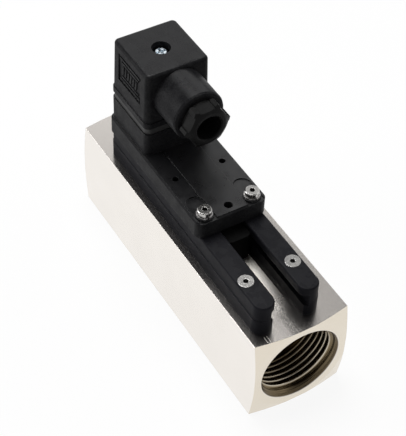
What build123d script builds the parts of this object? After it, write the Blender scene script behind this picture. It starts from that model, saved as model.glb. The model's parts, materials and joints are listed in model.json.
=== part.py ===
from build123d import *
import math
import os

# A variable area flow switch. A square brass bar with a threaded port in each end holds a sprung
# float, which carries a ring magnet through a tapered sleeve. Two grooved rails on top of the bar
# guide the switch head: a plate with a connector base, and a keel that carries the reed switch.
# A square plug with a cable gland sits on the connector base.
# X runs with the flow, Z is up, and the origin is under the middle of the bar. Millimetres.

# Flow body
body_length = 135.0
body_width = 40.0
end_circle = 40.9
end_chamfer_angle = 15.0
port_diameter = 33.25
port_mouth = 34.2
port_depth = 18.0
throat_diameter = 23.0
throat_length = 6.5
bore_diameter = 27.0
bore_tail = 3.4
tapped_hole_depth = 5.5

# Pieces inside the bore
slip = 0.05
guide_thickness = 5.0
guide_rim = 2.0
guide_arm = 2.4
guide_arms = 3
hub_diameter = 8.0
rod_diameter = 4.0
rod_inset = 1.0
orifice_diameter = 17.2
orifice_land = 8.0
orifice_flare = 1.2
orifice_flare_length = 2.0
cone_exit_diameter = 23.0
seal_section = 1.6
seal_groove_width = 2.4
seal_offset = 6.0
ring_thickness = 1.2
ring_groove_depth = 0.8
ring_width = 2.2
ring_mouth = 9.0
ring_eye_angle = 30.0
ring_eye_bore = 0.8
ring_eye_margin = 0.3

# Float and its spring
float_travel = 18.0
float_head_diameter = 16.6
float_head_length = 6.0
float_head_edge = 1.0
float_nose_diameter = 10.0
float_gap = 0.1
float_start = 3.0
float_barrel_diameter = 12.4
float_barrel_length = 24.0
float_bore_clearance = 0.08
float_tube_wall = 0.8
float_pocket_wall = 1.1
magnet_length = 10.0
magnet_play = 0.05
cap_thickness = 2.0
spring_length = 29.0
spring_diameter = 7.4
spring_wire = 0.9
spring_turns = 8

# Rails on top of the bar
rail_side_margin = 2.8
rail_front_margin = 5.5
rail_rear_margin = 18.0
rail_height = 14.0
rail_width = 8.6
rail_gap = 10.5
rail_corner = 4.0
rail_edge = 0.4
groove_height = 5.4
groove_depth = 2.8
groove_floor = 5.2
groove_end_wall = 7.8
foot_setback = 1.35
rail_step = 0.25
rail_step_height = 7.0
rail_screw_inset = 14.8
rail_screw_offset = 10.0

# Screws
m3_radius = 1.5
thread_slip = 0.05
hole_play = 0.15
csk_head_radius = 3.0
csk_rim = 0.25
socket_across = 2.0
socket_depth = 1.2
cap_head_radius = 2.75
cap_head_height = 2.0
cap_head_edge = 0.25
washer_radius = 3.1
washer_thickness = 0.7
washer_gap = 0.5
screw_tip_gap = 0.5

# Switch head: plate with connector base
head_rear_margin = 2.0
plate_length = 69.5
plate_width = 30.0
plate_thickness = 7.4
plate_corner = 3.0
plate_edge = 0.6
slide_play = 0.1
band_width = 13.9
band_rise = 0.25
clamp_setback = 3.9
clamp_offset = 10.2
recess_radius = 3.6
recess_depth = 0.5
recess_run = 6.6
clamp_seat_radius = 3.4
clamp_seat_height = 0.9
insert_radius = 2.1
insert_length = 4.6
tip_gap = 0.05
dimple_radius = 1.3
dimple_depth = 2.5
dimple_setback = 25.2
access_radius = 1.7
small_screw_radius = 1.0
small_head_radius = 1.55
small_head_height = 1.3
small_head_seat = 3.4
small_screw_reach = 6.0
small_slot_width = 0.5
small_slot_depth = 0.5
base_size = 28.0
base_height = 10.0
base_corner = 2.5
base_rear_margin = 0.5
base_roof = 5.5
chamber_size = 21.0
channel_width = 5.0
channel_rise = 3.0
hub_radius = 3.6
hub_drop = 4.0

# Reed carrier: the keel between the rails
keel_play = 0.25
keel_overhang = 5.6
keel_rear_margin = 3.0
keel_foot_gap = 0.4
keel_nose_drop = 2.0
keel_corner = 2.0
keel_wing_height = 2.0
tongue_play = 0.15
tongue_end_margin = 3.0
trough_margin = 5.6
trough_length = 30.5
trough_floor = 1.6
channel_depth = 3.6
reed_radius = 1.1
reed_length = 14.0
reed_play = 0.1
reed_end_margin = 4.5
reed_end_round = 0.65
blade_radius = 0.4
blade_reach = 3.3
blade_bend_rise = 2.8
lead_radius = 0.6
lead_offset = 1.5
lead_gap = 0.1
wire_rise = 4.5

# Contacts of the connector base, and the gasket on it
pin_spread = 9.0
pin_width = 6.3
pin_thickness = 0.8
pin_stand = 10.0
pin_tail = 3.0
pin_play = 0.05
plug_insert_radius = 2.4
plug_insert_length = 7.0
gasket_thickness = 3.0
gasket_inset = 0.4
gasket_play = 0.6
gasket_bore = 2.6

# Plug
lip_height = 2.5
cap_size = 27.4
cap_height = 22.1
cap_taper = 1.4
cap_top_edge = 1.4
cap_wall = 2.0
cap_roof = 6.0
panel_inset = 0.75
panel_length = 17.0
panel_height = 12.5
panel_drop = 9.8
counterbore_radius = 3.7
counterbore_depth = 4.6
screw_seal_thickness = 0.8
screw_seal_bore = 1.75
plug_head_radius = 2.7
plug_head_height = 2.0
plug_head_edge = 0.65
cross_reach = 1.95
cross_width = 0.95
cross_depth = 1.0
plug_screw_reach = 8.0
insert_play = 0.2
terminal_height = 10.4
terminal_corner = 2.0
socket_wall = 0.55
socket_length = 8.0
socket_play = 0.15
terminal_head_radius = 2.4
terminal_head_height = 1.8
terminal_screw_reach = 5.0
terminal_screw_spread = 7.6
terminal_slot_width = 0.75
terminal_slot_depth = 0.8

# Cable gland
boss_radius = 10.5
boss_reach = 29.0
boss_edge = 1.2
boss_edge_round = 0.35
boss_drop = 11.5
gland_thread_radius = 7.6
gland_thread_play = 0.1
boss_thread_depth = 12.0
seal_seat_radius = 5.6
gland_seal_length = 6.4
cable_radius = 5.2
gland_seal_bore = 4.4
thrust_ring_thickness = 1.0
thread_gap = 0.05
nut_gap = 1.7
nut_across = 16.6
nut_length = 5.4
nut_face_radius = 7.1
nut_face_step = 0.35
nut_face_run = 0.6
nut_mouth_edge = 0.4
nut_rib_width = 1.6
nut_face_recess = 0.5
nut_turn = 34.0
overcut = 1.0

# Places that follow from the sizes
half_length = body_length / 2
axis_z = body_width / 2
port_radius = port_diameter / 2
bore_radius = bore_diameter / 2
port_floor = half_length - port_depth
stack_start = -port_floor + throat_length
ring_start = port_floor - bore_tail - ring_thickness
outlet_guide_start = ring_start - guide_thickness
sleeve_start = stack_start + guide_thickness
rod_radius = rod_diameter / 2
float_front = sleeve_start + float_start
float_rear = float_front + float_head_length + float_barrel_length
spring_end = float_rear + spring_length
pocket_inner = rod_radius + float_bore_clearance + float_tube_wall
pocket_outer = float_barrel_diameter / 2 - float_pocket_wall
pocket_depth = magnet_length + 2 * magnet_play + cap_thickness

rail_base = body_width
rail_top = rail_base + rail_height
rail_front = half_length - rail_front_margin
rail_rear = -half_length + rail_rear_margin
rail_length = rail_front - rail_rear
rail_inner = rail_gap / 2
unit_y = -body_width / 2 + rail_side_margin + rail_width + rail_inner
rail_screw_places = (rail_front - rail_screw_inset, rail_rear + rail_screw_inset)
groove_base = rail_base + groove_floor
groove_top = groove_base + groove_height

plate_base = rail_top + slide_play
plate_top = plate_base + plate_thickness
plate_rear = rail_rear + head_rear_margin
plate_front = plate_rear + plate_length
clamp_x = plate_front - clamp_setback
recess_floor = plate_top - recess_depth
clamp_seat = recess_floor + clamp_seat_height
base_x = plate_rear + base_rear_margin + base_size / 2
base_top = plate_top + base_height
chamber_top = base_top - base_roof
keel_half = rail_inner - keel_play
keel_front = plate_front + keel_overhang
keel_rear = plate_rear + keel_rear_margin
keel_base = rail_base + keel_foot_gap
trough_end = clamp_x - trough_margin
reed_z = keel_base + trough_floor + reed_play + reed_radius
reed_front = trough_end - reed_end_margin
reed_rear = reed_front - reed_length

gasket_top = base_top + gasket_thickness
lip_top = gasket_top + lip_height
cap_top = lip_top + cap_height
chamber_roof = cap_top - cap_roof
cap_half = cap_size / 2
counterbore_floor = cap_top - counterbore_depth
head_seat = counterbore_floor + screw_seal_thickness
terminal_top = gasket_top + terminal_height
boss_z = cap_top - boss_drop
boss_end = base_x + boss_reach
seal_start = boss_end - boss_thread_depth
thrust_start = seal_start + gland_seal_length
nut_thread_start = thrust_start + thrust_ring_thickness
nut_start = boss_end + nut_gap
nut_end = nut_start + nut_length


def block(x0, x1, y0, y1, z0, z1):
    """A box between two corners."""
    return Pos((x0 + x1) / 2, (y0 + y1) / 2, (z0 + z1) / 2) * Box(x1 - x0, y1 - y0, z1 - z0)


def rounded_block(x, y, length, width, corner, z0, z1):
    """A block with rounded upright edges."""
    plan = Pos(x, y, z0) * RectangleRounded(length, width, corner)
    return extrude(plan, z1 - z0)


def rod_z(x, y, radius, z0, z1):
    """An upright cylinder."""
    low = (Align.CENTER, Align.CENTER, Align.MIN)
    return Pos(x, y, z0) * Cylinder(radius, z1 - z0, align=low)


def turned_x(outline, y=0.0, z=axis_z):
    """A turned piece on an axis along X. The outline holds pairs of place and radius."""
    face = make_face(Plane.XZ * Polyline(*outline, close=True))
    return Pos(0, y, z) * revolve(face, Axis.X, 360)


def turned_z(outline, x, y):
    """A turned piece on an upright axis. The outline holds pairs of radius and height."""
    face = make_face(Plane.XZ * Polyline(*outline, close=True))
    return Pos(x, y, 0) * revolve(face, Axis.Z, 360)


def tube_x(x0, x1, inner, outer, y=0.0, z=axis_z):
    """A plain ring or tube on an axis along X."""
    return turned_x([(x0, inner), (x1, inner), (x1, outer), (x0, outer)], y, z)


def tube_z(x, y, inner, outer, z0, z1):
    """A plain upright ring or tube."""
    return turned_z([(inner, z0), (outer, z0), (outer, z1), (inner, z1)], x, y)


def hex_socket(x, y, top):
    """The hexagon recess in a screw head."""
    plan = Pos(x, y, top - socket_depth) * RegularPolygon(socket_across / 2, 6, major_radius=False)
    return extrude(plan, socket_depth + overcut)


def beside(y_offset, side):
    """A place to the left (-1) or right (1) of the switch head's centreline."""
    return unit_y + side * y_offset


def flow_body():
    """The square bar: turned end chamfers, two ports, and the stepped bore between them."""
    reach = body_width
    cut = (reach - end_circle / 2) * math.tan(math.radians(end_chamfer_angle))
    bar = Pos(0, 0, axis_z) * Box(body_length, body_width, body_width)
    bar = bar & turned_x(
        [
            (-half_length, 0),
            (-half_length, end_circle / 2),
            (-half_length + cut, reach),
            (half_length - cut, reach),
            (half_length, end_circle / 2),
            (half_length, 0),
        ]
    )
    mouth = port_mouth / 2
    sink = mouth - port_radius
    groove = bore_radius + ring_groove_depth
    passage = [
        (-half_length - overcut, 0),
        (-half_length - overcut, mouth + overcut),
        (-half_length + sink, port_radius),
        (-port_floor, port_radius),
        (-port_floor, throat_diameter / 2),
        (stack_start, throat_diameter / 2),
        (stack_start, bore_radius),
        (ring_start - slip, bore_radius),
        (ring_start - slip, groove),
        (ring_start + ring_thickness + slip, groove),
        (ring_start + ring_thickness + slip, bore_radius),
        (port_floor, bore_radius),
        (port_floor, port_radius),
        (half_length - sink, port_radius),
        (half_length + overcut, mouth + overcut),
        (half_length + overcut, 0),
    ]
    bar -= turned_x(passage)
    for x in rail_screw_places:
        for side in (-1, 1):
            y = beside(rail_screw_offset, side)
            hole_base = rail_base - tapped_hole_depth
            bar -= rod_z(x, y, m3_radius + thread_slip, hole_base, rail_base + overcut)
    return bar


def guide(x0, hub_from, hub_to):
    """A three-armed guide: rim, arms and the hub that holds the rod."""
    rim = bore_radius - slip
    piece = tube_x(x0, x0 + guide_thickness, rim - guide_rim, rim)
    for count in range(guide_arms):
        arm = block(x0, x0 + guide_thickness, -guide_arm / 2, guide_arm / 2, 0, rim - guide_rim / 2)
        piece += Pos(0, 0, axis_z) * Rot(360 / guide_arms * count, 0, 0) * arm
    piece += tube_x(hub_from, hub_to, 0, hub_diameter / 2)
    return piece


def inlet_guide():
    """The guide at the inlet. Its hub is the seat that the float rests against."""
    piece = guide(stack_start, stack_start, float_front - float_gap)
    seat = stack_start + rod_inset
    return piece - tube_x(seat, float_front, 0, rod_radius + slip / 2)


def outlet_guide():
    """The guide at the outlet. Its long hub reaches back to the spring."""
    piece = guide(outlet_guide_start, spring_end, outlet_guide_start + guide_thickness)
    seat = outlet_guide_start + guide_thickness - rod_inset
    return piece - tube_x(spring_end - overcut, seat, 0, rod_radius + slip / 2)


def guide_rod():
    """The rod through both hubs that the float slides on."""
    start = stack_start + rod_inset
    end = outlet_guide_start + guide_thickness - rod_inset
    edge = rod_radius / 5
    return turned_x(
        [
            (start, 0),
            (start, rod_radius - edge),
            (start + edge, rod_radius),
            (end - edge, rod_radius),
            (end, rod_radius - edge),
            (end, 0),
        ]
    )


def metering_sleeve():
    """The sleeve whose bore widens downstream of the orifice, so the gap round the float grows."""
    outer = bore_radius - slip
    orifice = orifice_diameter / 2
    wide = cone_exit_diameter / 2
    land_end = sleeve_start + orifice_land
    cone_end = land_end + float_travel + float_head_length
    groove = sleeve_start + seal_offset
    groove_radius = outer - seal_section - slip / 2
    return turned_x(
        [
            (sleeve_start, orifice + orifice_flare),
            (sleeve_start + orifice_flare_length, orifice),
            (land_end, orifice),
            (cone_end, wide),
            (outlet_guide_start, wide),
            (outlet_guide_start, outer),
            (groove + seal_groove_width, outer),
            (groove + seal_groove_width, groove_radius),
            (groove, groove_radius),
            (groove, outer),
            (sleeve_start, outer),
        ]
    )


def sleeve_seal():
    """The ring seal in the sleeve's groove."""
    ring = Torus(bore_radius - slip - seal_section / 2, seal_section / 2 - slip / 2)
    return Pos(sleeve_start + seal_offset + seal_groove_width / 2, 0, axis_z) * Rot(0, 90, 0) * ring


def retaining_ring():
    """The internal snap ring that holds the stack, open at its lower side with two eyes."""
    outer = bore_radius + ring_groove_depth - slip
    ring = tube_x(ring_start, ring_start + ring_thickness, outer - ring_width, outer)
    mouth = ring_mouth / 2
    ring -= block(ring_start - overcut, ring_start + 2 * ring_thickness, -mouth, mouth, 0, axis_z)
    eye_radius = bore_radius - ring_width - ring_eye_margin
    for side in (-1, 1):
        eye = tube_x(ring_start, ring_start + ring_thickness, ring_eye_bore, ring_width, 0, -eye_radius)
        ring += Pos(0, 0, axis_z) * Rot(side * ring_eye_angle, 0, 0) * eye
    return ring


def float_piston():
    """The float: a nosed head that throttles the sleeve, and a barrel with the magnet's pocket."""
    bore = rod_radius + float_bore_clearance
    head_end = float_front + float_head_length
    head = float_head_diameter / 2
    barrel = float_barrel_diameter / 2
    pocket = float_rear - pocket_depth
    return turned_x(
        [
            (float_front, bore),
            (float_front, float_nose_diameter / 2),
            (float_front + float_head_length / 2, head),
            (head_end - float_head_edge, head),
            (head_end, head - float_head_edge),
            (head_end, barrel),
            (float_rear, barrel),
            (float_rear, pocket_outer),
            (pocket, pocket_outer),
            (pocket, pocket_inner),
            (float_rear, pocket_inner),
            (float_rear, bore),
        ]
    )


def float_magnet():
    """The ring magnet in the float's pocket."""
    start = float_rear - pocket_depth + magnet_play
    return tube_x(start, start + magnet_length, pocket_inner + slip, pocket_outer - slip)


def magnet_cap():
    """The ring that closes the magnet's pocket."""
    start = float_rear - cap_thickness
    return tube_x(start, float_rear, pocket_inner + slip / 2, pocket_outer - slip / 2)


def return_spring():
    """The compression spring between the float and the outlet guide's hub."""
    wire = spring_wire / 2
    height = spring_length - spring_wire - 2 * float_gap
    coil = Helix(height / spring_turns, height, spring_diameter / 2)
    section = Plane(origin=coil @ 0, z_dir=coil % 0) * Circle(wire)
    spring = sweep(section, path=coil, is_frenet=True)
    return Pos(float_rear + wire + float_gap, 0, axis_z) * Rot(0, 90, 0) * spring


def right_rail():
    """One rail: rounded ends, a groove and a set-back foot on its inner side, countersunk holes."""
    x = (rail_front + rail_rear) / 2
    upper = rail_base + rail_step_height
    outer = unit_y + rail_inner + rail_width
    inner = unit_y + rail_inner
    piece = rounded_block(x, (inner + outer) / 2, rail_length, rail_width, rail_corner, rail_base, upper)
    width = rail_width - rail_step
    top = rounded_block(x, inner + width / 2, rail_length, width, rail_corner, upper, rail_top)
    piece += chamfer(top.faces().sort_by(Axis.Z)[-1].edges(), rail_edge)
    start = rail_rear + groove_end_wall
    front = rail_front + overcut
    piece -= block(start, front, inner - overcut, inner + groove_depth, groove_base, groove_top)
    piece -= block(start, front, inner - overcut, inner + foot_setback, rail_base - overcut, groove_base)
    for hole_x in rail_screw_places:
        hole_y = unit_y + rail_screw_offset
        piece -= rod_z(hole_x, hole_y, m3_radius + hole_play, rail_base - overcut, rail_top + overcut)
        piece -= countersink(hole_x, hole_y)
    return piece


def left_rail():
    """The other rail is the mirror image of the right one."""
    return mirror(right_rail(), about=Plane.XZ.offset(-unit_y))


def countersink(x, y):
    """The cone that takes a rail screw's head, a little wider than the head."""
    low = m3_radius + hole_play
    wide = csk_head_radius + slip
    rim = rail_top - csk_rim
    start = rim - wide + low
    above = rail_top + overcut
    return turned_z([(0, start), (low, start), (wide, rim), (wide, above), (0, above)], x, y)


def rail_screws():
    """Four countersunk screws, flush with the rails so that the plate can slide over them."""
    pieces = []
    rim = rail_top - csk_rim
    for x in rail_screw_places:
        for side in (-1, 1):
            y = beside(rail_screw_offset, side)
            tip = rail_base - tapped_hole_depth + screw_tip_gap
            outline = [
                (0, tip),
                (m3_radius, tip),
                (m3_radius, rim - csk_head_radius + m3_radius),
                (csk_head_radius, rim),
                (csk_head_radius, rail_top),
                (0, rail_top),
            ]
            pieces.append(turned_z(outline, x, y) - hex_socket(x, y, rail_top))
    return Compound(pieces)


def plate_and_base():
    """The outer form of the switch head: the plate with its raised band and the connector base."""
    x = (plate_rear + plate_front) / 2
    plate = rounded_block(x, unit_y, plate_length, plate_width, plate_corner, plate_base, plate_top)
    plate = chamfer(plate.faces().sort_by(Axis.Z)[-1].edges(), plate_edge)
    base = rounded_block(base_x, unit_y, base_size, base_size, base_corner, plate_top, base_top)
    band = band_width / 2
    raised = plate_top + band_rise
    plate += block(base_x, plate_front - plate_edge, unit_y - band, unit_y + band, plate_top, raised)
    return plate + base


def clamp_recess(side):
    """The shallow recess round a clamp screw, open towards the front of the plate."""
    y = beside(clamp_offset, side)
    rear = clamp_x - recess_run
    top = plate_top + overcut
    front = plate_front + overcut
    run = block(rear, front, y - recess_radius, y + recess_radius, recess_floor, top)
    return run + rod_z(rear, y, recess_radius, recess_floor, top)


def switch_housing():
    """The switch head's moulding: wiring chamber under the base, recesses, holes and pin slots."""
    piece = plate_and_base()
    below = plate_base - overcut
    above = plate_top + overcut
    size = chamber_size
    piece -= rounded_block(base_x, unit_y, size, size, base_corner, below, chamber_top)
    piece += rod_z(base_x, unit_y, hub_radius, chamber_top - hub_drop, chamber_top)
    insert_hole = plug_insert_radius + slip / 2
    insert_floor = base_top - plug_insert_length
    piece -= rod_z(base_x, unit_y, insert_hole, insert_floor, base_top + overcut)
    screw_hole = m3_radius + hole_play
    piece -= rod_z(base_x, unit_y, screw_hole, chamber_top - hub_drop - overcut, base_top + overcut)
    channel = channel_width / 2
    chamber_front = base_x + chamber_size / 2
    channel_top = plate_base + channel_rise
    low_side = unit_y - channel
    high_side = unit_y + channel
    piece -= block(chamber_front - overcut, trough_end, low_side, high_side, below, channel_top)
    for side in (-1, 1):
        y = beside(clamp_offset, side)
        piece -= clamp_recess(side)
        piece += rod_z(clamp_x, y, clamp_seat_radius, recess_floor, clamp_seat)
        piece -= rod_z(clamp_x, y, insert_radius + slip / 2, clamp_seat - insert_length, above)
        piece -= rod_z(clamp_x, y, screw_hole, below, above)
        dimple_x = plate_front - dimple_setback
        piece -= rod_z(dimple_x, y, dimple_radius, plate_top - dimple_depth, above)
    piece -= rod_z(clamp_x, unit_y, access_radius, plate_base + small_head_seat, above)
    piece -= rod_z(clamp_x, unit_y, small_screw_radius + hole_play, below, above)
    for x, y, length, width in pin_places(pin_play):
        slot_top = base_top + overcut
        piece -= block(x - length, x + length, y - width, y + width, chamber_top - overcut, slot_top)
    return piece


def pin_places(play):
    """Centre and half sizes of the four flat contacts, with some play round each."""
    long_half = pin_width / 2 + play
    short_half = pin_thickness / 2 + play
    places = []
    for side in (-1, 1):
        places.append((base_x + side * pin_spread, unit_y, short_half, long_half))
        places.append((base_x, unit_y + side * pin_spread, long_half, short_half))
    return places


def contact_blades():
    """Four flat contacts that stand in the connector base, with chamfered tips."""
    pieces = []
    low = chamber_top - pin_tail
    high = base_top + pin_stand
    for x, y, length, width in pin_places(0):
        blade = block(x - length, x + length, y - width, y + width, low, high)
        tip = blade.faces().sort_by(Axis.Z)[-1].edges()
        pieces.append(chamfer(tip, pin_thickness / 4))
    return Compound(pieces)


def reed_carrier():
    """The keel: side tongues in the rails' grooves, a trough for the reed, a channel for its leads."""
    length = keel_front - keel_rear
    x = (keel_front + keel_rear) / 2
    above = plate_base + overcut
    rear = keel_rear + tongue_end_margin
    front = keel_front - tongue_end_margin
    keel = rounded_block(x, unit_y, length, 2 * keel_half, keel_corner, keel_base, plate_base)
    reach = rail_inner + groove_depth - keel_play
    tongue_base = groove_base + tongue_play
    tongue_top = groove_top - tongue_play
    keel += block(rear, front, unit_y - reach, unit_y + reach, tongue_base, tongue_top)
    nose = plate_base - keel_nose_drop
    nose_rear = plate_front - overcut
    nose_front = keel_front + overcut
    keel -= block(nose_rear, nose_front, unit_y - keel_half, unit_y + keel_half, nose, above)
    wing = rail_inner + foot_setback - keel_play
    wing_top = keel_base + keel_wing_height
    keel += block(rear, front, unit_y - wing, unit_y + wing, keel_base, wing_top)
    half = channel_width / 2
    floor = keel_base + trough_floor
    trough_rear = trough_end - trough_length
    keel -= block(trough_rear, trough_end, unit_y - half, unit_y + half, floor, above)
    channel = plate_base - channel_depth
    keel -= block(rear, trough_end, unit_y - half, unit_y + half, channel, above)
    hole_base = plate_base - small_screw_reach
    keel -= rod_z(clamp_x, unit_y, small_screw_radius + thread_slip, hole_base, above)
    return keel


def carrier_screw():
    """The small screw, deep in the plate's hole, that holds the reed carrier to the plate."""
    seat = plate_base + small_head_seat
    top = seat + small_head_height
    tip = plate_base - small_screw_reach + screw_tip_gap
    outline = [
        (0, tip),
        (small_screw_radius, tip),
        (small_screw_radius, seat),
        (small_head_radius, seat),
        (small_head_radius, top),
        (0, top),
    ]
    piece = turned_z(outline, clamp_x, unit_y)
    return piece - screw_slot(clamp_x, unit_y, small_head_radius, small_slot_width, top, small_slot_depth)


def screw_slot(x, y, reach, width, top, depth):
    """The slot across a screw's head."""
    half = width / 2
    return block(x - reach, x + reach, y - half, y + half, top - depth, top + overcut)


def clamp_screws():
    """Two cap screws that clamp the head: their tips press on the rails below the plate."""
    pieces = []
    tip = rail_top + tip_gap
    seat = clamp_seat + washer_thickness
    top = seat + cap_head_height
    for side in (-1, 1):
        y = beside(clamp_offset, side)
        outline = [
            (0, tip),
            (m3_radius, tip),
            (m3_radius, seat),
            (cap_head_radius, seat),
            (cap_head_radius, top - cap_head_edge),
            (cap_head_radius - cap_head_edge, top),
            (0, top),
        ]
        pieces.append(turned_z(outline, clamp_x, y) - hex_socket(clamp_x, y, top))
    return Compound(pieces)


def lock_washers():
    """Two split lock washers under the clamp screws' heads."""
    pieces = []
    top = clamp_seat + washer_thickness
    outer = clamp_x + washer_radius + overcut
    for side in (-1, 1):
        y = beside(clamp_offset, side)
        ring = tube_z(clamp_x, y, m3_radius + slip, washer_radius, clamp_seat, top)
        gap = washer_gap / 2
        pieces.append(ring - block(clamp_x, outer, y - gap, y + gap, recess_floor, top + overcut))
    return Compound(pieces)


def clamp_inserts():
    """Two threaded inserts in the plate that the clamp screws run in."""
    pieces = []
    low = clamp_seat - insert_length
    for side in (-1, 1):
        y = beside(clamp_offset, side)
        pieces.append(tube_z(clamp_x, y, m3_radius + thread_slip, insert_radius, low, clamp_seat))
    return Compound(pieces)


def reed_glass():
    """The reed switch's glass tube with rounded ends."""
    middle = (reed_front + reed_rear) / 2
    tube = Pos(middle, unit_y, reed_z) * Rot(0, 90, 0) * Cylinder(reed_radius, reed_length)
    return fillet(tube.edges().filter_by(GeomType.CIRCLE), reed_end_round)


def round_wire(points, radius, bend):
    """A round wire along straight runs joined by arcs."""
    path = FilletPolyline(*points, radius=bend)
    section = Plane(origin=path @ 0, z_dir=path % 0) * Circle(radius)
    return sweep(section, path=path)


def reed_blades():
    """The reed's two leads: a straight one at the rear, and one bent up at the front."""
    rear = tube_x(reed_rear - blade_reach, reed_rear, 0, blade_radius, unit_y, reed_z)
    turn = reed_front + blade_reach - blade_radius
    corners = [
        (reed_front, unit_y, reed_z),
        (turn, unit_y, reed_z),
        (turn, unit_y, reed_z + blade_bend_rise),
    ]
    return Compound([rear, round_wire(corners, blade_radius, 2 * blade_radius)])


def lead_wires():
    """Two insulated wires from the reed's leads to the tails of two contacts."""
    tail = chamber_top - pin_tail
    low = plate_base - channel_depth + lead_radius + lead_gap
    high = low + 2 * lead_radius + lead_gap
    bend = 2 * lead_radius
    run = 3 * bend
    start = reed_rear - blade_reach
    first = [
        (start, unit_y, reed_z),
        (start - run, unit_y, reed_z),
        (start - run, unit_y, low),
        (base_x + pin_spread, unit_y, low),
        (base_x + pin_spread, unit_y, tail),
    ]
    turn = reed_front + blade_reach - blade_radius
    corner = base_x + chamber_size / 2 - 2 * bend
    crossing = plate_base + wire_rise
    second = [
        (turn, unit_y, reed_z + blade_bend_rise),
        (turn, unit_y, high),
        (turn - run, unit_y + lead_offset, high),
        (corner, unit_y + lead_offset, high),
        (corner, unit_y + lead_offset, crossing),
        (base_x, unit_y + pin_spread, crossing),
        (base_x, unit_y + pin_spread, tail),
    ]
    return Compound([round_wire(first, lead_radius, bend), round_wire(second, lead_radius, bend)])


def plug_thread_insert():
    """The threaded insert in the connector base that the plug's screw runs in."""
    low = base_top - plug_insert_length
    return tube_z(base_x, unit_y, m3_radius + thread_slip, plug_insert_radius, low, base_top)


def flat_gasket():
    """The flat gasket on the connector base, with a window round each contact."""
    size = base_size - 2 * gasket_inset
    piece = rounded_block(base_x, unit_y, size, size, base_corner, base_top, gasket_top)
    below = base_top - overcut
    above = gasket_top + overcut
    piece -= rod_z(base_x, unit_y, gasket_bore, below, above)
    for x, y, length, width in pin_places(gasket_play):
        piece -= block(x - length, x + length, y - width, y + width, below, above)
    return piece


def cable_boss():
    """The round boss that the gland nut screws into."""
    outline = [
        (base_x, 0),
        (base_x, boss_radius),
        (boss_end - boss_edge, boss_radius),
        (boss_end - boss_edge_round, boss_radius - boss_edge_round),
        (boss_end, boss_radius - boss_edge),
        (boss_end, 0),
    ]
    return turned_x(outline, unit_y, boss_z)


def side_panel(side):
    """The shallow field in one side of the cap."""
    floor = beside(cap_half - panel_inset, side)
    beyond = beside(cap_half + overcut, side)
    low, high = sorted((floor, beyond))
    long_half = panel_length / 2
    base = cap_top - panel_drop - panel_height / 2
    return block(base_x - long_half, base_x + long_half, low, high, base, base + panel_height)


def plug_cap():
    """The plug's cap: lip, tapered square body with a rounded top edge, and the cable boss."""
    lip = rounded_block(base_x, unit_y, base_size, base_size, base_corner, gasket_top, lip_top)
    plan = Pos(base_x, unit_y, lip_top) * RectangleRounded(cap_size, cap_size, base_corner)
    body = extrude(plan, cap_height, taper=cap_taper)
    body = fillet(body.faces().sort_by(Axis.Z)[-1].edges(), cap_top_edge)
    piece = lip + body + cable_boss()
    inner = cap_size - 2 * cap_wall
    below = gasket_top - overcut
    piece -= rounded_block(base_x, unit_y, inner, inner, base_corner, below, chamber_roof)
    thread = gland_thread_radius + gland_thread_play
    piece -= tube_x(seal_start, boss_end + overcut, 0, thread, unit_y, boss_z)
    piece -= tube_x(base_x, seal_start + overcut, 0, seal_seat_radius, unit_y, boss_z)
    piece -= rod_z(base_x, unit_y, counterbore_radius, counterbore_floor, cap_top + overcut)
    piece -= rod_z(base_x, unit_y, m3_radius + hole_play, chamber_roof - overcut, cap_top)
    for side in (-1, 1):
        piece -= side_panel(side)
    return piece


def terminal_block():
    """The block inside the plug that holds the socket contacts and the terminal screws."""
    size = cap_size - 2 * cap_wall - 2 * insert_play
    below = gasket_top - overcut
    above = terminal_top + overcut
    piece = rounded_block(base_x, unit_y, size, size, terminal_corner, gasket_top, terminal_top)
    piece -= rod_z(base_x, unit_y, m3_radius + 2 * hole_play, below, above)
    socket_top = gasket_top + socket_length
    for x, y, length, width in pin_places(socket_play + socket_wall + slip):
        piece -= block(x - length, x + length, y - width, y + width, below, socket_top)
    hole_base = terminal_top - terminal_screw_reach - screw_tip_gap
    for x, y in terminal_places():
        piece -= rod_z(x, y, m3_radius + thread_slip, hole_base, above)
    return piece


def terminal_places():
    """The four corners that the terminal screws stand in."""
    return [
        (base_x + across * terminal_screw_spread, unit_y + side * terminal_screw_spread)
        for across in (-1, 1)
        for side in (-1, 1)
    ]


def socket_contacts():
    """Four sprung sockets round the contact blades."""
    pieces = []
    low = gasket_top + insert_play
    top = gasket_top + socket_length
    outside = pin_places(socket_play + socket_wall)
    inside = pin_places(socket_play)
    for (x, y, length, width), (_, _, slot_length, slot_width) in zip(outside, inside):
        outer = block(x - length, x + length, y - width, y + width, low, top)
        left, right = x - slot_length, x + slot_length
        inner = block(left, right, y - slot_width, y + slot_width, low - overcut, top - socket_wall)
        pieces.append(outer - inner)
    return Compound(pieces)


def terminal_screws():
    """Four slotted screws that clamp the cable's cores."""
    pieces = []
    tip = terminal_top - terminal_screw_reach
    top = terminal_top + terminal_head_height
    reach = terminal_head_radius
    for x, y in terminal_places():
        outline = [
            (0, tip),
            (m3_radius, tip),
            (m3_radius, terminal_top),
            (reach, terminal_top),
            (reach, top),
            (0, top),
        ]
        slot = screw_slot(x, y, reach, terminal_slot_width, top, terminal_slot_depth)
        pieces.append(turned_z(outline, x, y) - slot)
    return Compound(pieces)


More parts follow.
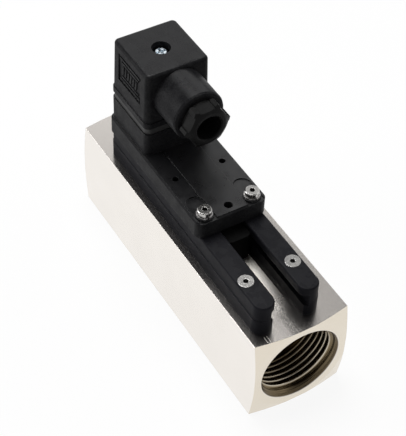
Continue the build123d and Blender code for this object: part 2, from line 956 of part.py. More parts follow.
def plug_screw():
    """The long screw through the plug, with a cross recess in its pan head."""
    top = head_seat + plug_head_height
    tip = base_top - plug_screw_reach
    outline = [
        (0, tip),
        (m3_radius, tip),
        (m3_radius, head_seat),
        (plug_head_radius, head_seat),
        (plug_head_radius, top - plug_head_edge),
        (plug_head_radius - plug_head_edge, top),
        (0, top),
    ]
    piece = turned_z(outline, base_x, unit_y)
    floor = top - cross_depth
    above = top + overcut
    arm = cross_reach
    half = cross_width / 2
    piece -= block(base_x - arm, base_x + arm, unit_y - half, unit_y + half, floor, above)
    piece -= block(base_x - half, base_x + half, unit_y - arm, unit_y + arm, floor, above)
    return piece


def screw_seal():
    """The sealing ring under the plug screw's head."""
    outer = counterbore_radius - hole_play
    return tube_z(base_x, unit_y, screw_seal_bore, outer, counterbore_floor, head_seat)


def gland_seal():
    """The rubber ring that the gland nut squeezes onto the cable."""
    outer = gland_thread_radius - thread_slip
    end = thrust_start - thread_gap
    return tube_x(seal_start + thread_gap, end, gland_seal_bore, outer, unit_y, boss_z)


def thrust_ring():
    """The thin ring between the seal and the nut."""
    outer = gland_thread_radius - thread_slip
    start = thrust_start
    return tube_x(start, start + thrust_ring_thickness, cable_radius, outer, unit_y, boss_z)


def gland_nut():
    """The gland nut: threaded spigot, hexagon with sunk faces, and a domed face round the hole."""
    start = nut_thread_start + thread_gap
    neck = nut_start + overcut
    spigot = tube_x(start, neck, cable_radius, gland_thread_radius, unit_y, boss_z)
    plan = RegularPolygon(nut_across / 2, 6, major_radius=False)
    place = Pos(nut_start, unit_y, boss_z) * Rot(nut_turn, 0, 0) * Rot(0, 90, 0)
    hexagon = place * extrude(plan, nut_length)
    slope = (nut_across - nut_face_radius) * nut_face_run
    mouth = cable_radius + nut_mouth_edge
    hexagon &= turned_x(
        [
            (nut_start, 0),
            (nut_start, nut_across),
            (nut_end - slope, nut_across),
            (nut_end - nut_face_step, nut_face_radius + nut_face_step),
            (nut_end, nut_face_radius - nut_face_step),
            (nut_end, mouth),
            (nut_end - nut_mouth_edge, cable_radius),
            (nut_end - nut_mouth_edge, 0),
        ],
        unit_y,
        boss_z,
    )
    for count in range(6):
        hexagon -= Pos(0, unit_y, boss_z) * Rot(nut_turn + 30 + 60 * count, 0, 0) * nut_face_pocket()
    hexagon -= tube_x(nut_start - overcut, nut_end + overcut, 0, cable_radius, unit_y, boss_z)
    return spigot + hexagon


def nut_face_pocket():
    """What is sunk into one face of the nut between its corner ribs."""
    flat = nut_across / 2
    half = flat * math.tan(math.radians(30)) - nut_rib_width
    front = nut_end + overcut
    return block(nut_start - overcut, front, -half, half, flat - nut_face_recess, flat + overcut)


def write_parts():
    """Writes one file for each named piece."""
    pieces = {
        "flow_body": flow_body(),
        "inlet_guide": inlet_guide(),
        "metering_sleeve": metering_sleeve(),
        "sleeve_seal": sleeve_seal(),
        "outlet_guide": outlet_guide(),
        "guide_rod": guide_rod(),
        "retaining_ring": retaining_ring(),
        "float_piston": float_piston(),
        "float_magnet": float_magnet(),
        "magnet_cap": magnet_cap(),
        "return_spring": return_spring(),
        "rail_left": left_rail(),
        "rail_right": right_rail(),
        "rail_screws": rail_screws(),
        "switch_housing": switch_housing(),
        "reed_carrier": reed_carrier(),
        "carrier_screw": carrier_screw(),
        "clamp_screws": clamp_screws(),
        "lock_washers": lock_washers(),
        "clamp_inserts": clamp_inserts(),
        "reed_glass": reed_glass(),
        "reed_blades": reed_blades(),
        "lead_wires": lead_wires(),
        "contact_blades": contact_blades(),
        "plug_thread_insert": plug_thread_insert(),
        "flat_gasket": flat_gasket(),
        "plug_cap": plug_cap(),
        "terminal_block": terminal_block(),
        "socket_contacts": socket_contacts(),
        "terminal_screws": terminal_screws(),
        "plug_screw": plug_screw(),
        "screw_seal": screw_seal(),
        "gland_seal": gland_seal(),
        "thrust_ring": thrust_ring(),
        "gland_nut": gland_nut(),
    }
    os.makedirs("parts", exist_ok=True)
    for name, shape in pieces.items():
        export_step(shape, f"parts/{name}.step")


write_parts()
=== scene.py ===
import json
import math

import bmesh
import bpy
from mathutils import Matrix, Vector

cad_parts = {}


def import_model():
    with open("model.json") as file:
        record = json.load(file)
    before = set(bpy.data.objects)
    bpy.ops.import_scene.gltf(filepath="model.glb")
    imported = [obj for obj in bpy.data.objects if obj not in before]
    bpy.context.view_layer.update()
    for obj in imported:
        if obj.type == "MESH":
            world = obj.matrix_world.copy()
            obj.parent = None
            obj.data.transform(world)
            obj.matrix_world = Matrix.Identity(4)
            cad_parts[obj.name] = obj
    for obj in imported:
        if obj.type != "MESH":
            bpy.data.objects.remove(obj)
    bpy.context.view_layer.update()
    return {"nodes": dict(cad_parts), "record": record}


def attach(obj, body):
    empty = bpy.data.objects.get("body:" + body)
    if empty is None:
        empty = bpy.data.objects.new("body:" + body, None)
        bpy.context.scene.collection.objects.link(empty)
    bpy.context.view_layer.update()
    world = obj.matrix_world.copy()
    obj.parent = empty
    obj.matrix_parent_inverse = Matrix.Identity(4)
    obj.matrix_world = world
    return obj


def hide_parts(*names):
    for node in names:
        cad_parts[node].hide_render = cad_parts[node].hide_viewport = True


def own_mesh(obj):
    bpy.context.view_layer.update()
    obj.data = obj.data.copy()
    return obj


# Looks for the variable area flow switch. The imported pieces stay where they are. This script gives them
# their materials, puts copies in place of the spring and the cable seal, and adds the port threads, the
# ribs on the plug's sides, the floor, lamps and camera.

MM = 0.001

# The middle of the rails and the head across the bar, and the height of the bar's axis
UNIT_Y = -3.35 * MM
AXIS_Z = 20.0 * MM

# Track between the rails, painted paler as light and made rougher: half its width, and the X over which it
# fades in and out
TRACK_HALF = 5.2 * MM
TRACK_START = (0.0, 10.0 * MM)
TRACK_END = (30.0 * MM, 58.0 * MM)

# Two short pale lines on the bar's top: the X of their ends and the Y of each
PALE_LINE_X = (63.0 * MM, 65.8 * MM)
PALE_LINE_Y = (-14.66 * MM, -13.52 * MM)
PALE_LINE_WIDTH = 0.3 * MM

# Port and its thread: radii, where the bar and the thread end from the bar's middle, the plain land at
# the mouth, and the thread's pitch, depth and play
PORT_RADIUS = 16.61 * MM
PORT_MOUTH = 17.1 * MM
CREST_RADIUS = 15.2 * MM
BODY_END = 67.5 * MM
THREAD_END = 49.7 * MM
THREAD_LAND = 1.2 * MM
THREAD_PITCH = 2.309 * MM
THREAD_DEPTH = 1.45 * MM
THREAD_PLAY = 0.02 * MM

# Profile of the thread: the part of half a turn that its flank takes, and how much of it is rounded
FLANK = (0.12, 0.88)
ROUNDING = 0.35

# How many points the thread's mesh has round the axis, and how many steps along it
THREAD_AROUND = 144
THREAD_ALONG = 132

# Sunk panels in the plug's cap: their middle in X, half their length, and the Y of each one's floor with
# the side that it faces
PANEL_X = -33.0 * MM
PANEL_HALF = 8.5 * MM
PANEL_FLOORS = {"plug_ribs_left": (-16.3 * MM, -1), "plug_ribs_right": (9.6 * MM, 1)}

# Ribs in the panels: each long one's lower and upper Z and its inset from the ends, then the short ones
RIB_HEIGHT = 0.34 * MM
RIB_SLOPE = 0.12 * MM
RIB_ROWS = (
    (93.7 * MM, 94.6 * MM, 0.8 * MM),
    (92.2 * MM, 92.9 * MM, 2.0 * MM),
    (85.7 * MM, 86.3 * MM, 2.0 * MM),
    (84.0 * MM, 84.8 * MM, 0.8 * MM),
)
RIB_SHORT_Z = (87.3 * MM, 91.3 * MM)
RIB_SHORT_COUNT = 6
RIB_SHORT_INSET = 2.6 * MM
RIB_SHORT_SHARE = 0.55
RIB_SHORT_LEAN = 0.5 * MM

# Camera, fitted to the photograph; the lens and the sensor are in millimetres
CAMERA_AZIMUTH = 57.596
CAMERA_ELEVATION = 46.263
CAMERA_ROLL = 2.573
CAMERA_DISTANCE = 556.625 * MM
CAMERA_RIGHT = -1.068 * MM
CAMERA_UP = 25.186 * MM
CAMERA_LENS = 112.41
CAMERA_SENSOR = 36.0

# Sky: its light on matt surfaces, and what glossy ones mirror: a white backdrop, a dark camera side
SKY_PLAIN = 0.26
SKY_DARK = 0.06
CEILING = 0.25
BACKDROP_TOP = (0.665, 0.715)
BACKDROP_SIDE = (0.05, 0.50)
BACKDROP_AZIMUTH = 122.0
HORIZON = 0.75
HORIZON_TOP = (0.35, 0.60)

# Floor: half its side, how far it lies below the object, and the share of white in how it is seen
FLOOR_HALF = 3.0
FLOOR_DROP = 0.05 * MM
FLOOR_WHITE = 0.9

# Soft lamps: place, size and power; all of them point at the target
LAMP_TARGET = (0, 0, 0.04)
LAMPS = {
    "left_lamp": ((-0.60, -0.85, 0.35), 0.6, 5.0),
    "right_lamp": ((0.20, 0.80, 0.75), 0.8, 1.5),
    "top_lamp": ((-0.30, 0.03, 1.00), 0.5, 7.0),
}

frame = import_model()
nodes = frame["nodes"]


# Shader nodes

# Ranges over which a value goes from none to all: a noise, a face that looks up, a face of an end, and an
# open place
NOISE_RANGE = (0.35, 0.65)
UPWARD = (0.9, 0.99)
ENDWARD = (0.8, 0.9)
OPEN = (0.35, 0.8)


def feed(tree, socket, value):
    """Gives a socket a number, a colour or a node's output."""
    if isinstance(value, (int, float)):
        socket.default_value = value
    elif isinstance(value, tuple):
        socket.default_value = (*value, 1.0)
    else:
        tree.links.new(value, socket)


def combine(tree, operation, *values):
    """A sum, product or the like of two values, or a function of one."""
    node = tree.nodes.new("ShaderNodeMath")
    node.operation = operation
    for socket, value in zip(node.inputs, values):
        feed(tree, socket, value)
    return node.outputs[0]


def choose(tree, factor, first, second):
    """The first value where the factor is 0, the second where it is 1."""
    node = tree.nodes.new("ShaderNodeMix")
    feed(tree, node.inputs["Factor"], factor)
    feed(tree, node.inputs[2], first)
    feed(tree, node.inputs[3], second)
    return node.outputs[0]


def ramp(tree, value, limits, low, high, kind="LINEAR"):
    """A value between two limits mapped to a range from low to high."""
    node = tree.nodes.new("ShaderNodeMapRange")
    node.interpolation_type = kind
    for name, number in zip(("From Min", "From Max", "To Min", "To Max"), (*limits, low, high)):
        node.inputs[name].default_value = number
    tree.links.new(value, node.inputs["Value"])
    return node.outputs["Result"]


class Shader:
    """A node material with short ways to make and join its nodes."""

    def __init__(self, name):
        self.material = bpy.data.materials.new(name)
        self.material.use_nodes = True
        self.tree = self.material.node_tree
        self.surface = self.tree.nodes["Principled BSDF"]
        self.coordinate = self.add("ShaderNodeTexCoord")

    def add(self, kind, **settings):
        """A new node with these settings."""
        node = self.tree.nodes.new(kind)
        for key, value in settings.items():
            setattr(node, key, value)
        return node

    def join(self, source, target):
        """Joins an output to an input."""
        self.tree.links.new(source, target)

    def set(self, name, value):
        """Gives the surface a constant, a colour or a node's output."""
        feed(self.tree, self.surface.inputs[name], value)

    def noise(self, size, detail=2.0, rough=0.5, stretch=(1, 1, 1)):
        """Noise whose features are about as large as size, in metres."""
        mapping = self.add("ShaderNodeMapping")
        mapping.inputs["Scale"].default_value = stretch
        self.join(self.coordinate.outputs["Object"], mapping.inputs["Vector"])
        noise = self.add("ShaderNodeTexNoise")
        noise.inputs["Scale"].default_value = 1.0 / size
        noise.inputs["Detail"].default_value = detail
        noise.inputs["Roughness"].default_value = rough
        self.join(mapping.outputs["Vector"], noise.inputs["Vector"])
        return noise.outputs["Fac"]

    def rings(self, radius, size):
        """Fine uneven rings round the axis, as a lathe leaves them."""
        noise = self.add("ShaderNodeTexNoise", noise_dimensions="1D")
        noise.inputs["Scale"].default_value = 1.0 / size
        self.join(radius, noise.inputs["W"])
        return noise.outputs["Fac"]

    def spread(self, value, low, high, limits=NOISE_RANGE):
        """Maps a value between two limits to a range."""
        return ramp(self.tree, value, limits, low, high)

    def math(self, operation, *values):
        """A sum, product or the like of two values, or a function of one."""
        return combine(self.tree, operation, *values)

    def blend(self, factor, first, second):
        """Mixes two plain values."""
        return choose(self.tree, factor, first, second)

    def mix(self, factor, first, second):
        """Mixes two colours, each a colour or a node's output."""
        node = self.add("ShaderNodeMix", data_type="RGBA")
        self.join(factor, node.inputs["Factor"])
        feed(self.tree, node.inputs[6], first)
        feed(self.tree, node.inputs[7], second)
        return node.outputs[2]

    def bump(self, height, distance, radius):
        """Bump from a height value, over edges softened to a radius."""
        node = self.add("ShaderNodeBump")
        node.inputs["Strength"].default_value = 1.0
        node.inputs["Distance"].default_value = distance
        self.join(height, node.inputs["Height"])
        bevel = self.add("ShaderNodeBevel", samples=6)
        bevel.inputs["Radius"].default_value = radius
        self.join(bevel.outputs["Normal"], node.inputs["Normal"])
        self.join(node.outputs["Normal"], self.surface.inputs["Normal"])

    def part(self, kind, axis):
        """One part, X, Y or Z, of the place ("Object") or the normal ("Normal") on the object."""
        split = self.add("ShaderNodeSeparateXYZ")
        self.join(self.coordinate.outputs[kind], split.inputs[0])
        return split.outputs[axis]

    def away(self, axis, middle=0.0):
        """The distance along an axis from a place on it."""
        return self.math("ABSOLUTE", self.math("SUBTRACT", self.part("Object", axis), middle))

    def axis_radius(self):
        """The distance from the bar's axis."""
        across = self.math("POWER", self.part("Object", "Y"), 2)
        rise = self.math("POWER", self.math("SUBTRACT", self.part("Object", "Z"), AXIS_Z), 2)
        return self.math("SQRT", self.math("ADD", across, rise))

    def upward(self, elsewhere, on_top):
        """One value on faces that look up, and another elsewhere."""
        return self.spread(self.part("Normal", "Z"), elsewhere, on_top, UPWARD)

    def openness(self, distance):
        """1 on open faces, and less down in hollows narrower than the distance."""
        node = self.add("ShaderNodeAmbientOcclusion", samples=8)
        node.inputs["Distance"].default_value = distance
        return self.spread(node.outputs["AO"], 0, 1, OPEN)


# Materials

# Sizes of grain, and how tool marks are drawn out: along the axis, or round it as by a lathe
FINE = 0.25 * MM
COARSE = 0.6 * MM
DRAWN = (0.1, 1, 1)
TURNED = (6, 1, 1)

# Metals with two tones that are used more than once, and the painted shade in hollows
BRASS = ((0.74, 0.56, 0.26), (0.66, 0.49, 0.22))
STEEL = ((0.72, 0.71, 0.69), (0.60, 0.59, 0.58))
HOLLOW_SHADE = (0.03, 0.03, 0.03)

METALS = {
    "inner_brass": dict(tones=BRASS, roughness=0.3, stretch=DRAWN),
    "float_brass": dict(tones=BRASS, roughness=0.25, stretch=TURNED),
    "insert_brass": dict(tones=BRASS, roughness=0.3),
    "stainless": dict(tones=STEEL, roughness=0.2, stretch=TURNED),
    "spring_steel": dict(tones=((0.60, 0.59, 0.58), (0.45, 0.44, 0.43)), roughness=0.3),
    "screw_steel": dict(
        tones=((0.55, 0.54, 0.52), (0.46, 0.45, 0.44)),
        roughness=0.2, size=0.8 * MM, edge=0.2 * MM, shade_reach=1.5 * MM,
    ),
    "washer_steel": dict(tones=((0.50, 0.49, 0.48), (0.36, 0.35, 0.35)), roughness=0.34),
    "zinc_steel": dict(
        tones=((0.84, 0.93, 0.99), (0.76, 0.84, 0.90)),
        roughness=0.28, edge=0.25 * MM, shade_reach=0.3 * MM,
    ),
    "magnet_iron": dict(tones=((0.16, 0.16, 0.17), (0.10, 0.10, 0.11)), roughness=0.45),
    "blade_metal": dict(tones=STEEL, roughness=0.25),
    "tinned_contact": dict(tones=((0.78, 0.77, 0.74), (0.66, 0.65, 0.62)), roughness=0.25),
}

PLASTICS = {
    "rail_black": dict(
        tones=((0.009, 0.009, 0.011), (0.014, 0.014, 0.017)),
        roughness=0.38, grain=FINE, depth=0.003 * MM, edge=0.35 * MM, specular=0.02, polish=0.12,
    ),
    "housing_black": dict(
        tones=((0.008, 0.008, 0.009), (0.022, 0.022, 0.023)),
        roughness=0.42, grain=COARSE, depth=0.06 * MM, edge=0.22 * MM, specular=0.03, polish=0.42,
    ),
    "cap_black": dict(
        tones=((0.005, 0.005, 0.006), (0.020, 0.020, 0.021)),
        roughness=0.38, grain=COARSE, depth=0.06 * MM, edge=0.22 * MM, specular=0.03, polish=0.26,
    ),
    "carrier_black": dict(
        tones=((0.003, 0.003, 0.003), (0.006, 0.006, 0.006)),
        roughness=0.5, grain=FINE, depth=0.008 * MM, specular=0.03,
    ),
    "nut_black": dict(
        tones=((0.006, 0.006, 0.006), (0.012, 0.012, 0.012)),
        roughness=0.4, grain=FINE, depth=0.008 * MM, specular=0.05,
    ),
    "block_grey": dict(tones=((0.10, 0.10, 0.11), (0.14, 0.14, 0.15)), roughness=0.45),
    "ring_plastic": dict(tones=((0.25, 0.25, 0.25), (0.32, 0.32, 0.32)), roughness=0.4),
    "wire_sleeve": dict(tones=((0.03, 0.05, 0.22), (0.05, 0.07, 0.28)), roughness=0.4),
}

# Matt rubber with a faint bloom, and the slots that it is for
RUBBER = dict(
    tones=((0.012, 0.012, 0.012), (0.022, 0.022, 0.022)),
    roughness=0.55, grain=0.2 * MM, edge=0.2 * MM, specular=0.35,
)
RUBBER_SLOTS = ("seal_rubber", "gasket_rubber", "gland_rubber")

# What a polished plastic's upward faces keep of its light tone and its grain, and how their roughness
# changes
POLISH_TONE = 0.25
POLISH_GRAIN = 0.15
POLISH_ROUGHNESS = -0.1

# Nickel plate: two tones for each kind of face, one for the track, painted paler as light, and the pale
# lines,
# and painted shade in the port: two tones for its grooves, inside and at the mouth, and two for its crests,
# dark inside and painted brighter near the mouth
SIDE_TONES = ((0.89, 0.85, 0.80), (0.87, 0.83, 0.78))
TOP_TONES = ((0.66, 0.62, 0.58), (0.84, 0.80, 0.76))
END_TONES = ((0.74, 0.67, 0.56), (0.80, 0.74, 0.64))
PALE_TRACK_AND_LINE_TONE = (0.96, 0.92, 0.85)
GROOVE_SHADE_TONES = ((0.20, 0.155, 0.09), (0.13, 0.10, 0.06))
CREST_SHADE_TONES = ((0.26, 0.22, 0.16), (0.66, 0.60, 0.50))

# Roughness of its sides, of its ground top, and of the track and the pale lines
SIDE_ROUGHNESS = (0.20, 0.26)
GROUND_ROUGHNESS = (0.17, 0.21)
TRACK_ROUGHNESS = (0.48, 0.56)

# Where its finishes change over: to the ports by radius, from groove to crest by radius, and from the inner
# tones of the painted shade to those at the mouth by the distance from the bar's middle
PORT_EDGE = (PORT_MOUTH - 0.3 * MM, PORT_MOUTH)
CREST_EDGE = (CREST_RADIUS, CREST_RADIUS + 0.5 * MM)
GROOVE_SHADE_FADE = (BODY_END - 4 * MM, BODY_END - 2 * MM)
CREST_SHADE_FADE = (BODY_END - 12 * MM, BODY_END - 3 * MM)

# Depth of the tool marks in metals and in the nickel, the nickel's soft edge, and how fine its rings are
METAL_DEPTH = 0.004 * MM
NICKEL_DEPTH = 0.0006 * MM
NICKEL_EDGE = 0.2 * MM
RING_SIZE = 0.25 * MM

# How far roughness strays from its mean
PLASTIC_STRAY = 0.05
METAL_STRAY = 0.03


def plastic(name, tones, roughness, grain=0.3 * MM, depth=0.01 * MM, edge=0.25 * MM, specular=0.5,
            polish=None):
    """Moulded plastic or rubber: slight tone changes, and a grain of the given size and depth. With a
    polish, which is their specular level, upward faces are darker, smoother and glossier."""
    shader = Shader(name)
    tone = shader.spread(shader.noise(size=6 * MM, detail=3), 0, 0.5)
    speck = shader.spread(shader.noise(size=grain, detail=1), 0, 0.5)
    light = shader.math("ADD", tone, speck)
    dull = shader.noise(size=4 * MM, detail=3)
    rough = shader.spread(dull, roughness - PLASTIC_STRAY, roughness + PLASTIC_STRAY)
    height = shader.noise(size=grain, detail=2)
    gloss = specular
    if polish is not None:
        light = shader.math("MULTIPLY", light, shader.upward(1, POLISH_TONE))
        rough = shader.math("ADD", rough, shader.upward(0, POLISH_ROUGHNESS))
        height = shader.math("MULTIPLY", height, shader.upward(1, POLISH_GRAIN))
        gloss = shader.upward(specular, polish)
    shader.set("Specular IOR Level", gloss)
    shader.set("Base Color", shader.mix(light, *tones))
    shader.set("Roughness", rough)
    shader.bump(height, depth, edge)
    return shader.material


def metal(name, tones, roughness, stretch=(1, 1, 1), size=0.4 * MM, edge=0.12 * MM, shade_reach=None):
    """Metal with fine tool marks, drawn out by the stretch, and a little uneven in tone; painted shade
    darkens it in hollows, where their size is given."""
    shader = Shader(name)
    tone = shader.spread(shader.noise(size=5 * MM, detail=4), 0, 1)
    colour = shader.mix(tone, *tones)
    # painted shade: the colour goes dark where ambient occlusion finds a hollow
    if shade_reach:
        colour = shader.mix(shader.openness(shade_reach), HOLLOW_SHADE, colour)
    marks = shader.noise(size, detail=3, rough=0.6, stretch=stretch)
    shader.set("Metallic", 1.0)
    shader.set("Base Color", colour)
    shader.set("Roughness", shader.spread(marks, roughness - METAL_STRAY, roughness + METAL_STRAY))
    shader.bump(marks, METAL_DEPTH, edge)
    return shader.material


def track(shader):
    """1 on the track between the rails, which is painted paler as light, and 0 beside it."""
    ahead = shader.spread(shader.part("Object", "X"), 1, 0, TRACK_END)
    behind = shader.spread(shader.part("Object", "X"), 0, 1, TRACK_START)
    beside = shader.math("LESS_THAN", shader.away("Y", UNIT_Y), TRACK_HALF)
    return shader.math("MULTIPLY", beside, shader.math("MULTIPLY", ahead, behind))


def pale_line(shader, across):
    """1 on the pale line at this Y, and 0 beside it."""
    after = shader.math("GREATER_THAN", shader.part("Object", "X"), PALE_LINE_X[0])
    before = shader.math("LESS_THAN", shader.part("Object", "X"), PALE_LINE_X[1])
    beside = shader.math("LESS_THAN", shader.away("Y", across), PALE_LINE_WIDTH / 2)
    return shader.math("MULTIPLY", beside, shader.math("MULTIPLY", after, before))


def port_shade_colour(shader, radius):
    """Painted shade in the thread: dark grooves, and crests painted brighter towards the mouth as if lit."""
    groove_shade_colour = shader.mix(shader.spread(shader.away("X"), 0, 1, GROOVE_SHADE_FADE), *GROOVE_SHADE_TONES)
    crest_shade_colour = shader.mix(shader.spread(shader.away("X"), 0, 1, CREST_SHADE_FADE), *CREST_SHADE_TONES)
    crest = shader.spread(radius, 1, 0, CREST_EDGE)
    return shader.mix(crest, groove_shade_colour, crest_shade_colour)


def nickel(name):
    """Nickel plating: a ground top with a track painted paler as light, smooth sides, turned rings on the
    ends, and painted shade inside the ports.
    """
    shader = Shader(name)
    top = shader.upward(0, 1)
    end = shader.spread(shader.math("ABSOLUTE", shader.part("Normal", "X")), 0, 1, ENDWARD)
    radius = shader.axis_radius()
    inside = shader.spread(radius, 1, 0, PORT_EDGE)
    rings = shader.spread(shader.rings(radius, RING_SIZE), 0, 1)
    track_and_lines = track(shader)
    for across in PALE_LINE_Y:
        track_and_lines = shader.math("MAXIMUM", track_and_lines, pale_line(shader, across))

    cloud = shader.spread(shader.noise(size=25 * MM), 0, 1)
    grain = shader.spread(shader.noise(size=0.4 * MM, detail=3, rough=0.7), 0, 1)
    side_colour = shader.mix(cloud, *SIDE_TONES)
    # painted light: the track between the rails gets a paler tone than the rest of the top
    top_colour = shader.mix(track_and_lines, shader.mix(grain, *TOP_TONES), PALE_TRACK_AND_LINE_TONE)
    colour = shader.mix(end, shader.mix(top, side_colour, top_colour), shader.mix(rings, *END_TONES))
    # painted shade: the ports' inside is darkened, with crests painted brighter near the mouth
    colour = shader.mix(inside, colour, port_shade_colour(shader, radius))

    side_rough = shader.spread(shader.noise(size=8 * MM), *SIDE_ROUGHNESS)
    ground_rough = shader.spread(shader.noise(size=0.7 * MM, detail=3), *GROUND_ROUGHNESS)
    track_rough = shader.spread(shader.noise(size=0.7 * MM, detail=3), *TRACK_ROUGHNESS)
    top_rough = shader.blend(track_and_lines, ground_rough, track_rough)

    marks = shader.blend(top, shader.noise(size=1.5 * MM), shader.noise(size=0.5 * MM))
    shader.set("Metallic", 1.0)
    shader.set("Base Color", colour)
    shader.set("Roughness", shader.blend(top, side_rough, top_rough))
    shader.bump(shader.blend(end, marks, rings), NICKEL_DEPTH, NICKEL_EDGE)
    return shader.material


def glass(name):
    """Slightly green glass of the reed tube."""
    shader = Shader(name)
    tone = shader.spread(shader.noise(size=2 * MM), 0, 1)
    shader.set("Base Color", shader.mix(tone, (0.72, 0.86, 0.76), (0.80, 0.90, 0.84)))
    shader.set("Transmission Weight", 0.9)
    shader.set("Roughness", 0.06)
    shader.set("IOR", 1.5)
    return shader.material


def all_materials():
    """One material for each material slot of the record."""
    looks = {"nickel_plate": nickel("nickel_plate"), "reed_glass": glass("reed_glass")}
    for name, settings in METALS.items():
        looks[name] = metal(name, **settings)
    for name, settings in PLASTICS.items():
        looks[name] = plastic(name, **settings)
    for name in RUBBER_SLOTS:
        looks[name] = plastic(name, **RUBBER)
    return looks


def dress_nodes(looks):
    """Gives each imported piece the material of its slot."""
    slots = {entry["node"]: entry["material_slot"] for entry in frame["record"]["subparts"]}
    for name, piece in nodes.items():
        look = looks[slots[name]]
        for index in range(max(1, len(piece.data.materials))):
            if index < len(piece.data.materials):
                piece.data.materials[index] = look
            else:
                piece.data.materials.append(look)


# Spring and cable seal, copied to ride with their bodies


def pressed_copy(name, node, body, look):
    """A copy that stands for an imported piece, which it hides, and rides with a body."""
    piece = bpy.data.objects.new(name, nodes[node].data.copy())
    bpy.context.scene.collection.objects.link(piece)
    piece.data.materials.clear()
    piece.data.materials.append(look)
    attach(piece, body)
    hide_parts(node)
    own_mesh(piece)


# Pieces of this script's own

def new_piece(name, points, faces, look, body, smooth=True):
    """A mesh of its own that rides with a body of the frame."""
    mesh = bpy.data.meshes.new(name)
    mesh.from_pydata(points, [], faces)
    mesh.update()
    piece = bpy.data.objects.new(name, mesh)
    bpy.context.scene.collection.objects.link(piece)
    mesh.materials.append(look)
    for face in mesh.polygons:
        face.use_smooth = smooth
    shape = bmesh.new()
    shape.from_mesh(mesh)
    bmesh.ops.recalc_face_normals(shape, faces=shape.faces)
    shape.to_mesh(mesh)
    shape.free()
    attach(piece, body)


# Port threads

def thread_height(phase):
    """The rounded profile of the thread, 0 at the groove's floor and 1 at the crest."""
    low, high = FLANK
    flank = min(1.0, max(0.0, (2 * abs(phase - 0.5) - low) / (high - low)))
    rounded = flank * flank * (3 - 2 * flank)
    return 1.0 - ROUNDING * rounded - (1 - ROUNDING) * flank


def thread_radii(x, side):
    """The radii of the thread's face round the axis, at a distance from the middle of the bar."""
    run_out = min(1.0, (x - THREAD_END) / THREAD_PITCH)
    begin = min(1.0, max(0.0, (BODY_END - THREAD_LAND - x) / THREAD_PITCH))
    radii = []
    for count in range(THREAD_AROUND):
        turns = x / THREAD_PITCH - side * count / THREAD_AROUND
        height = THREAD_DEPTH * thread_height(turns % 1.0) * run_out * begin
        radii.append(PORT_RADIUS - THREAD_PLAY - height)
    return radii


def ring(points, x, radii):
    """Adds a ring of points round the bar's axis, one for each radius, and gives their numbers."""
    start = len(points)
    for count, radius in enumerate(radii):
        angle = 2 * math.pi * count / len(radii)
        points.append((x, radius * math.cos(angle), AXIS_Z + radius * math.sin(angle)))
    return range(start, len(points))


def port_thread(name, side, look):
    """The thread of one port, as a ring with a helical inner face; side is 1 at the outlet, and -1 at the
    inlet."""
    start = BODY_END - (PORT_MOUTH - PORT_RADIUS)
    points = []
    rows = []
    for step in range(THREAD_ALONG + 1):
        x = THREAD_END + (start - THREAD_END) * step / THREAD_ALONG
        rows.append(ring(points, side * x, thread_radii(x, side)))
    for x in (start, THREAD_END):
        rows.append(ring(points, side * x, [PORT_RADIUS] * THREAD_AROUND))
    rows.append(rows[0])
    faces = []
    for lower, upper in zip(rows, rows[1:]):
        for count in range(THREAD_AROUND):
            after = (count + 1) % THREAD_AROUND
            faces.append((lower[count], lower[after], upper[after], upper[count]))
    new_piece(name, points, faces, look, "housing")


# Ribs in the sunk panel on each side of the plug's cap

def rib(points, faces, corners, floor_y, side):
    """Adds a low rib to the points and faces: its corners as (x, z), drawn in at the top by a slope."""
    start = len(points)
    count = len(corners)
    middle_x = sum(x for x, z in corners) / count
    middle_z = sum(z for x, z in corners) / count
    for x, z in corners:
        points.append((x, floor_y, z))
    for x, z in corners:
        inward = 1 - RIB_SLOPE / math.hypot(x - middle_x, z - middle_z)
        points.append((
            middle_x + (x - middle_x) * inward,
            floor_y + side * RIB_HEIGHT,
            middle_z + (z - middle_z) * inward,
        ))
    for index in range(count):
        after = (index + 1) % count
        faces.append((start + index, start + after, start + count + after, start + count + index))
    faces.append(tuple(range(start + count, start + 2 * count)))


def bar(left, right, low, high, lean=0.0):
    """The corners of a bar between two X and two Z, its top moved along X by a lean."""
    return [(left, low), (right, low), (right + lean, high), (left + lean, high)]


def panel_ribs(name, floor_y, side, look):
    """Plain ribs in a side panel: long ones above and below, and a row of short leaning ones between."""
    points = []
    faces = []
    left = PANEL_X - PANEL_HALF
    right = PANEL_X + PANEL_HALF
    for low, high, inset in RIB_ROWS:
        rib(points, faces, bar(left + inset, right - inset, low, high), floor_y, side)
    pitch = 2 * (PANEL_HALF - RIB_SHORT_INSET) / RIB_SHORT_COUNT
    for index in range(RIB_SHORT_COUNT):
        x = left + RIB_SHORT_INSET + index * pitch
        corners = bar(x, x + RIB_SHORT_SHARE * pitch, *RIB_SHORT_Z, lean=RIB_SHORT_LEAN)
        rib(points, faces, corners, floor_y, side)
    new_piece(name, points, faces, look, "plug", smooth=False)


# Floor, light and camera

def floor_material():
    """Pale and matt; the camera and mirrors see it nearly white, with a faint shadow."""
    shader = Shader("pale_floor")
    tone = shader.spread(shader.noise(size=0.3), 0, 1)
    shader.set("Base Color", shader.mix(tone, (0.93, 0.93, 0.93), (0.90, 0.90, 0.90)))
    shader.set("Roughness", 0.9)
    shader.set("Specular IOR Level", 0.1)
    path = shader.add("ShaderNodeLightPath")
    clear = shader.math("MAXIMUM", path.outputs["Is Glossy Ray"], path.outputs["Is Transmission Ray"])
    seen = shader.math("MAXIMUM", path.outputs["Is Camera Ray"], clear)
    veil = shader.add("ShaderNodeMixShader")
    shader.join(shader.math("MULTIPLY", seen, FLOOR_WHITE), veil.inputs[0])
    shader.join(shader.surface.outputs[0], veil.inputs[1])
    shader.join(shader.add("ShaderNodeEmission").outputs[0], veil.inputs[2])
    shader.join(veil.outputs[0], shader.tree.nodes["Material Output"].inputs["Surface"])
    return shader.material


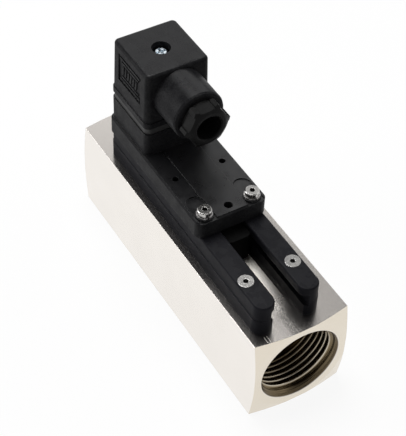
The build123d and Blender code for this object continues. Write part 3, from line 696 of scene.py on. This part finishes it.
def floor():
    """A large pale floor under the object."""
    size = FLOOR_HALF
    corners = [(-size, -size, 0), (size, -size, 0), (size, size, 0), (-size, size, 0)]
    mesh = bpy.data.meshes.new("floor")
    mesh.from_pydata(corners, [], [(0, 1, 2, 3)])
    ground = bpy.data.objects.new("floor", mesh)
    ground.location.z = -FLOOR_DROP
    bpy.context.scene.collection.objects.link(ground)
    ground.data.materials.append(floor_material())


def soft_lamp(name, place, size, power):
    """A square soft lamp at a place, pointed at the target."""
    data = bpy.data.lights.new(name, "AREA")
    data.shape = "SQUARE"
    data.size = size
    data.energy = power
    lamp = bpy.data.objects.new(name, data)
    lamp.location = place
    lamp.rotation_euler = (Vector(LAMP_TARGET) - Vector(place)).to_track_quat("-Z", "Y").to_euler()
    bpy.context.scene.collection.objects.link(lamp)


def studio(tree):
    """What glossy pieces mirror: a white backdrop on one side below a dark ceiling, and a bright horizon."""
    split = tree.nodes.new("ShaderNodeSeparateXYZ")
    tree.links.new(tree.nodes.new("ShaderNodeTexCoord").outputs["Generated"], split.inputs[0])
    turn = math.radians(BACKDROP_AZIMUTH)
    along = combine(tree, "MULTIPLY", split.outputs["X"], math.cos(turn))
    across = combine(tree, "MULTIPLY", split.outputs["Y"], math.sin(turn))
    toward = combine(tree, "ADD", along, across)
    behind = ramp(tree, toward, BACKDROP_SIDE, 0.0, 1.0, "SMOOTHSTEP")
    below = ramp(tree, split.outputs["Z"], BACKDROP_TOP, 1.0, CEILING, "SMOOTHSTEP")
    horizon = ramp(tree, split.outputs["Z"], HORIZON_TOP, HORIZON, 0.0, "SMOOTHSTEP")
    bright = combine(tree, "MAXIMUM", combine(tree, "MULTIPLY", behind, below), horizon)
    return combine(tree, "ADD", combine(tree, "MULTIPLY", bright, 1.0 - SKY_DARK), SKY_DARK)


def world():
    """White to the camera, the studio to glossy and clear pieces, and an even grey light to the rest."""
    sky = bpy.data.worlds.new("studio")
    bpy.context.scene.world = sky
    sky.use_nodes = True
    tree = sky.node_tree
    path = tree.nodes.new("ShaderNodeLightPath")
    clear = combine(tree, "MAXIMUM", path.outputs["Is Glossy Ray"], path.outputs["Is Transmission Ray"])
    lit = choose(tree, clear, SKY_PLAIN, studio(tree))
    background = tree.nodes["Background"]
    feed(tree, background.inputs["Color"], (1.0, 1.0, 1.0))
    feed(tree, background.inputs["Strength"], choose(tree, path.outputs["Is Camera Ray"], lit, 1.0))


def camera_axes():
    """The camera's right, up and backward directions."""
    azimuth = math.radians(CAMERA_AZIMUTH)
    elevation = math.radians(CAMERA_ELEVATION)
    roll = math.radians(CAMERA_ROLL)
    back = Vector((
        math.sin(azimuth) * math.cos(elevation),
        -math.cos(azimuth) * math.cos(elevation),
        math.sin(elevation),
    ))
    level = Vector((0, 0, 1)).cross(back).normalized()
    upright = back.cross(level)
    right = level * math.cos(roll) + upright * math.sin(roll)
    up = upright * math.cos(roll) - level * math.sin(roll)
    return right, up, back


def camera():
    """The camera at the photograph's angle."""
    right, up, back = camera_axes()
    eye = back * CAMERA_DISTANCE + right * CAMERA_RIGHT + up * CAMERA_UP
    data = bpy.data.cameras.new("camera")
    data.lens = CAMERA_LENS
    data.sensor_width = CAMERA_SENSOR
    data.clip_start = 0.01
    data.dof.use_dof = False
    view = bpy.data.objects.new("camera", data)
    view.matrix_world = Matrix((
        (right.x, up.x, back.x, eye.x),
        (right.y, up.y, back.y, eye.y),
        (right.z, up.z, back.z, eye.z),
        (0, 0, 0, 1),
    ))
    bpy.context.scene.collection.objects.link(view)
    bpy.context.scene.camera = view


looks = all_materials()
dress_nodes(looks)
port_thread("outlet_thread", 1, looks["nickel_plate"])
port_thread("inlet_thread", -1, looks["nickel_plate"])
steel = looks["spring_steel"]
rubber = looks["gland_rubber"]
pressed_copy("spring_coil", "return_spring", "housing", steel)
pressed_copy("cable_seal", "gland_seal", "plug", rubber)
for name, (floor_y, side) in PANEL_FLOORS.items():
    panel_ribs(name, floor_y, side, looks["cap_black"])
floor()
world()
for name, settings in LAMPS.items():
    soft_lamp(name, *settings)
camera()
bpy.context.scene.view_settings.view_transform = "Standard"
